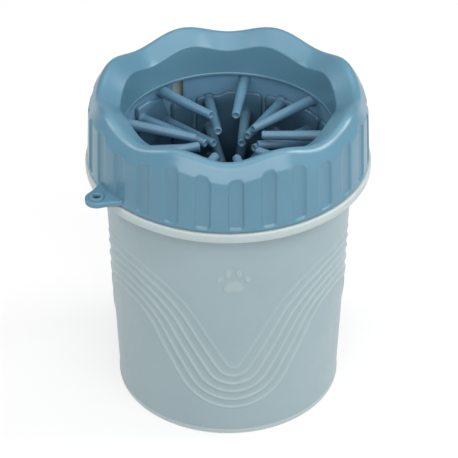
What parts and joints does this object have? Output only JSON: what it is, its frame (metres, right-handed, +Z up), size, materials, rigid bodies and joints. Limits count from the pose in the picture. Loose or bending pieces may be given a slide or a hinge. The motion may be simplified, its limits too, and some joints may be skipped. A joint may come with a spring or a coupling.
{
  "type": "paw washer cup",
  "caption": "Frosted drinking-cup sized tumbler with a screw-on waved and fluted collar, and a soft sleeve lined with inward bristles that scrub a dog's paw in water.",
  "frame": {"origin": "middle of the foot, on the surface the cup stands on", "axes": "+Z up through the collar, -Y towards the front with the emblem, +X to the right seen from the front"},
  "size_m": [0.1116, 0.1116, 0.1354],
  "materials": {
    "frosted_plastic": "frosted translucent",
    "blue_plastic": "satin",
    "blue_silicone": "soft satin silicone",
    "gasket_rubber": "matte"
  },
  "bodies": {
    "cup_body": {"cup": "frosted_plastic", "insert_sleeve": "blue_silicone", "bristle_panel_01": "blue_silicone", "bristle_panel_02": "blue_silicone", "bristle_panel_03": "blue_silicone", "bristle_panel_04": "blue_silicone", "bristle_panel_05": "blue_silicone", "bristle_panel_06": "blue_silicone", "bristle_panel_07": "blue_silicone", "bristle_panel_08": "blue_silicone", "bristle_panel_09": "blue_silicone", "bristle_panel_10": "blue_silicone"},
    "gasket_body": {"neck_gasket": "gasket_rubber"},
    "collar_body": {"collar": "blue_plastic"},
    "bristle_row1_1_body": {"bristle_row1_1": "blue_silicone"},
    "bristle_row1_2_body": {"bristle_row1_2": "blue_silicone"},
    "bristle_row1_3_body": {"bristle_row1_3": "blue_silicone"},
    "bristle_row1_4_body": {"bristle_row1_4": "blue_silicone"},
    "bristle_row1_5_body": {"bristle_row1_5": "blue_silicone"},
    "bristle_row1_6_body": {"bristle_row1_6": "blue_silicone"},
    "bristle_row1_7_body": {"bristle_row1_7": "blue_silicone"},
    "bristle_row1_8_body": {"bristle_row1_8": "blue_silicone"},
    "bristle_row1_9_body": {"bristle_row1_9": "blue_silicone"},
    "bristle_row2_1_body": {"bristle_row2_1": "blue_silicone"},
    "bristle_row2_2_body": {"bristle_row2_2": "blue_silicone"},
    "bristle_row2_3_body": {"bristle_row2_3": "blue_silicone"},
    "bristle_row2_4_body": {"bristle_row2_4": "blue_silicone"},
    "bristle_row2_5_body": {"bristle_row2_5": "blue_silicone"},
    "bristle_row2_6_body": {"bristle_row2_6": "blue_silicone"},
    "bristle_row2_7_body": {"bristle_row2_7": "blue_silicone"},
    "bristle_row2_8_body": {"bristle_row2_8": "blue_silicone"},
    "bristle_row2_9_body": {"bristle_row2_9": "blue_silicone"},
    "bristle_row3_1_body": {"bristle_row3_1": "blue_silicone"},
    "bristle_row3_2_body": {"bristle_row3_2": "blue_silicone"},
    "bristle_row3_3_body": {"bristle_row3_3": "blue_silicone"},
    "bristle_row3_4_body": {"bristle_row3_4": "blue_silicone"},
    "bristle_row3_5_body": {"bristle_row3_5": "blue_silicone"},
    "bristle_row3_6_body": {"bristle_row3_6": "blue_silicone"},
    "bristle_row3_7_body": {"bristle_row3_7": "blue_silicone"},
    "bristle_row3_8_body": {"bristle_row3_8": "blue_silicone"},
    "bristle_row3_9_body": {"bristle_row3_9": "blue_silicone"}
  },
  "joints": [
    {"name": "collar_rise", "type": "slide", "parent": "cup_body", "child": "gasket_body", "axis": [0, 0, 1], "range_m": [0, 0.012]},
    {"name": "collar_turn", "type": "hinge", "parent": "gasket_body", "child": "collar_body", "pos_m": [0, 0, 0.115], "axis": [0, 0, 1], "range_deg": [0, 360]},
    {"name": "bristle_row1_1_bend", "type": "hinge", "parent": "cup_body", "child": "bristle_row1_1_body", "pos_m": [0.00851, -0.04005, 0.1134], "axis": [-0.9781, -0.2079, 0], "range_deg": [-25, 25], "stiffness_Nm_per_rad": 0.004},
    {"name": "bristle_row1_2_bend", "type": "hinge", "parent": "cup_body", "child": "bristle_row1_2_body", "pos_m": [0.03136, -0.02632, 0.1134], "axis": [-0.6428, -0.766, 0], "range_deg": [-25, 25], "stiffness_Nm_per_rad": 0.004},
    {"name": "bristle_row1_3_bend", "type": "hinge", "parent": "cup_body", "child": "bristle_row1_3_body", "pos_m": [0.04094, -0.00072, 0.1134], "axis": [-0.0175, -0.9998, 0], "range_deg": [-25, 25], "stiffness_Nm_per_rad": 0.004},
    {"name": "bristle_row1_4_bend", "type": "hinge", "parent": "cup_body", "child": "bristle_row1_4_body", "pos_m": [0.03226, 0.02521, 0.1134], "axis": [0.6157, -0.788, 0], "range_deg": [-25, 25], "stiffness_Nm_per_rad": 0.004},
    {"name": "bristle_row1_5_bend", "type": "hinge", "parent": "cup_body", "child": "bristle_row1_5_body", "pos_m": [0.00641, 0.04044, 0.1134], "axis": [0.9877, -0.1564, 0], "range_deg": [-25, 25], "stiffness_Nm_per_rad": 0.004},
    {"name": "bristle_row1_6_bend", "type": "hinge", "parent": "cup_body", "child": "bristle_row1_6_body", "pos_m": [-0.02577, 0.03182, 0.1134], "axis": [0.7771, 0.6293, 0], "range_deg": [-25, 25], "stiffness_Nm_per_rad": 0.004},
    {"name": "bristle_row1_7_bend", "type": "hinge", "parent": "cup_body", "child": "bristle_row1_7_body", "pos_m": [-0.04005, 0.00851, 0.1134], "axis": [0.2079, 0.9781, 0], "range_deg": [-25, 25], "stiffness_Nm_per_rad": 0.004},
    {"name": "bristle_row1_8_bend", "type": "hinge", "parent": "cup_body", "child": "bristle_row1_8_body", "pos_m": [-0.03711, -0.0173, 0.1134], "axis": [-0.4226, 0.9063, 0], "range_deg": [-25, 25], "stiffness_Nm_per_rad": 0.004},
    {"name": "bristle_row1_9_bend", "type": "hinge", "parent": "cup_body", "child": "bristle_row1_9_body", "pos_m": [-0.01534, -0.03796, 0.1134], "axis": [-0.9272, 0.3746, 0], "range_deg": [-25, 25], "stiffness_Nm_per_rad": 0.004},
    {"name": "bristle_row2_1_bend", "type": "hinge", "parent": "cup_body", "child": "bristle_row2_1_body", "pos_m": [0.02006, -0.03338, 0.1061], "axis": [-0.8572, -0.515, 0], "range_deg": [-25, 25], "stiffness_Nm_per_rad": 0.004},
    {"name": "bristle_row2_2_bend", "type": "hinge", "parent": "cup_body", "child": "bristle_row2_2_body", "pos_m": [0.03704, -0.01204, 0.1061], "axis": [-0.309, -0.9511, 0], "range_deg": [-25, 25], "stiffness_Nm_per_rad": 0.004},
    {"name": "bristle_row2_3_bend", "type": "hinge", "parent": "cup_body", "child": "bristle_row2_3_body", "pos_m": [0.03835, 0.00676, 0.1061], "axis": [0.1736, -0.9848, 0], "range_deg": [-25, 25], "stiffness_Nm_per_rad": 0.004},
    {"name": "bristle_row2_4_bend", "type": "hinge", "parent": "cup_body", "child": "bristle_row2_4_body", "pos_m": [0.02006, 0.03338, 0.1061], "axis": [0.8572, -0.515, 0], "range_deg": [-25, 25], "stiffness_Nm_per_rad": 0.004},
    {"name": "bristle_row2_5_bend", "type": "hinge", "parent": "cup_body", "child": "bristle_row2_5_body", "pos_m": [-0.00743, 0.03823, 0.1043], "axis": [0.9816, 0.1908, 0], "range_deg": [-25, 25], "stiffness_Nm_per_rad": 0.004},
    {"name": "bristle_row2_6_bend", "type": "hinge", "parent": "cup_body", "child": "bristle_row2_6_body", "pos_m": [-0.03229, 0.02178, 0.1061], "axis": [0.5592, 0.829, 0], "range_deg": [-25, 25], "stiffness_Nm_per_rad": 0.004},
    {"name": "bristle_row2_7_bend", "type": "hinge", "parent": "cup_body", "child": "bristle_row2_7_body", "pos_m": [-0.03894, -0.00068, 0.1061], "axis": [-0.0175, 0.9998, 0], "range_deg": [-25, 25], "stiffness_Nm_per_rad": 0.004},
    {"name": "bristle_row2_8_bend", "type": "hinge", "parent": "cup_body", "child": "bristle_row2_8_body", "pos_m": [-0.02939, -0.02555, 0.1061], "axis": [-0.6561, 0.7547, 0], "range_deg": [-25, 25], "stiffness_Nm_per_rad": 0.004},
    {"name": "bristle_row2_9_bend", "type": "hinge", "parent": "cup_body", "child": "bristle_row2_9_body", "pos_m": [-0.00609, -0.03846, 0.1061], "axis": [-0.9877, 0.1564, 0], "range_deg": [-25, 25], "stiffness_Nm_per_rad": 0.004},
    {"name": "bristle_row3_1_bend", "type": "hinge", "parent": "cup_body", "child": "bristle_row3_1_body", "pos_m": [0.00808, -0.038, 0.0988], "axis": [-0.9781, -0.2079, 0], "range_deg": [-25, 25], "stiffness_Nm_per_rad": 0.004},
    {"name": "bristle_row3_2_bend", "type": "hinge", "parent": "cup_body", "child": "bristle_row3_2_body", "pos_m": [0.02976, -0.02497, 0.0988], "axis": [-0.6428, -0.766, 0], "range_deg": [-25, 25], "stiffness_Nm_per_rad": 0.004},
    {"name": "bristle_row3_3_bend", "type": "hinge", "parent": "cup_body", "child": "bristle_row3_3_body", "pos_m": [0.03884, -0.00068, 0.0988], "axis": [-0.0175, -0.9998, 0], "range_deg": [-25, 25], "stiffness_Nm_per_rad": 0.004},
    {"name": "bristle_row3_4_bend", "type": "hinge", "parent": "cup_body", "child": "bristle_row3_4_body", "pos_m": [0.03019, 0.02445, 0.0988], "axis": [0.6293, -0.7771, 0], "range_deg": [-25, 25], "stiffness_Nm_per_rad": 0.004},
    {"name": "bristle_row3_5_bend", "type": "hinge", "parent": "cup_body", "child": "bristle_row3_5_body", "pos_m": [0.00675, 0.03826, 0.0988], "axis": [0.9848, -0.1736, 0], "range_deg": [-25, 25], "stiffness_Nm_per_rad": 0.004},
    {"name": "bristle_row3_6_bend", "type": "hinge", "parent": "cup_body", "child": "bristle_row3_6_body", "pos_m": [-0.02338, 0.03102, 0.0988], "axis": [0.7986, 0.6018, 0], "range_deg": [-25, 25], "stiffness_Nm_per_rad": 0.004},
    {"name": "bristle_row3_7_bend", "type": "hinge", "parent": "cup_body", "child": "bristle_row3_7_body", "pos_m": [-0.03715, 0.01136, 0.0988], "axis": [0.2924, 0.9563, 0], "range_deg": [-25, 25], "stiffness_Nm_per_rad": 0.004},
    {"name": "bristle_row3_8_bend", "type": "hinge", "parent": "cup_body", "child": "bristle_row3_8_body", "pos_m": [-0.03521, -0.01642, 0.0988], "axis": [-0.4226, 0.9063, 0], "range_deg": [-25, 25], "stiffness_Nm_per_rad": 0.004},
    {"name": "bristle_row3_9_bend", "type": "hinge", "parent": "cup_body", "child": "bristle_row3_9_body", "pos_m": [-0.01455, -0.03602, 0.0988], "axis": [-0.9272, 0.3746, 0], "range_deg": [-25, 25], "stiffness_Nm_per_rad": 0.004}
  ],
  "couplings": [
    {"joint": "collar_rise", "follows": "collar_turn", "m_per_rad": 0.0019099},
    {"joint": "bristle_row1_2_bend", "follows": "bristle_row1_1_bend", "ratio": 1},
    {"joint": "bristle_row1_3_bend", "follows": "bristle_row1_1_bend", "ratio": 1},
    {"joint": "bristle_row1_4_bend", "follows": "bristle_row1_1_bend", "ratio": 1},
    {"joint": "bristle_row1_5_bend", "follows": "bristle_row1_1_bend", "ratio": 1},
    {"joint": "bristle_row1_6_bend", "follows": "bristle_row1_1_bend", "ratio": 1},
    {"joint": "bristle_row1_7_bend", "follows": "bristle_row1_1_bend", "ratio": 1},
    {"joint": "bristle_row1_8_bend", "follows": "bristle_row1_1_bend", "ratio": 1},
    {"joint": "bristle_row1_9_bend", "follows": "bristle_row1_1_bend", "ratio": 1},
    {"joint": "bristle_row2_1_bend", "follows": "bristle_row1_1_bend", "ratio": 1},
    {"joint": "bristle_row2_2_bend", "follows": "bristle_row1_1_bend", "ratio": 1},
    {"joint": "bristle_row2_3_bend", "follows": "bristle_row1_1_bend", "ratio": 1},
    {"joint": "bristle_row2_4_bend", "follows": "bristle_row1_1_bend", "ratio": 1},
    {"joint": "bristle_row2_5_bend", "follows": "bristle_row1_1_bend", "ratio": 1},
    {"joint": "bristle_row2_6_bend", "follows": "bristle_row1_1_bend", "ratio": 1},
    {"joint": "bristle_row2_7_bend", "follows": "bristle_row1_1_bend", "ratio": 1},
    {"joint": "bristle_row2_8_bend", "follows": "bristle_row1_1_bend", "ratio": 1},
    {"joint": "bristle_row2_9_bend", "follows": "bristle_row1_1_bend", "ratio": 1},
    {"joint": "bristle_row3_1_bend", "follows": "bristle_row1_1_bend", "ratio": 1},
    {"joint": "bristle_row3_2_bend", "follows": "bristle_row1_1_bend", "ratio": 1},
    {"joint": "bristle_row3_3_bend", "follows": "bristle_row1_1_bend", "ratio": 1},
    {"joint": "bristle_row3_4_bend", "follows": "bristle_row1_1_bend", "ratio": 1},
    {"joint": "bristle_row3_5_bend", "follows": "bristle_row1_1_bend", "ratio": 1},
    {"joint": "bristle_row3_6_bend", "follows": "bristle_row1_1_bend", "ratio": 1},
    {"joint": "bristle_row3_7_bend", "follows": "bristle_row1_1_bend", "ratio": 1},
    {"joint": "bristle_row3_8_bend", "follows": "bristle_row1_1_bend", "ratio": 1},
    {"joint": "bristle_row3_9_bend", "follows": "bristle_row1_1_bend", "ratio": 1}
  ]
}
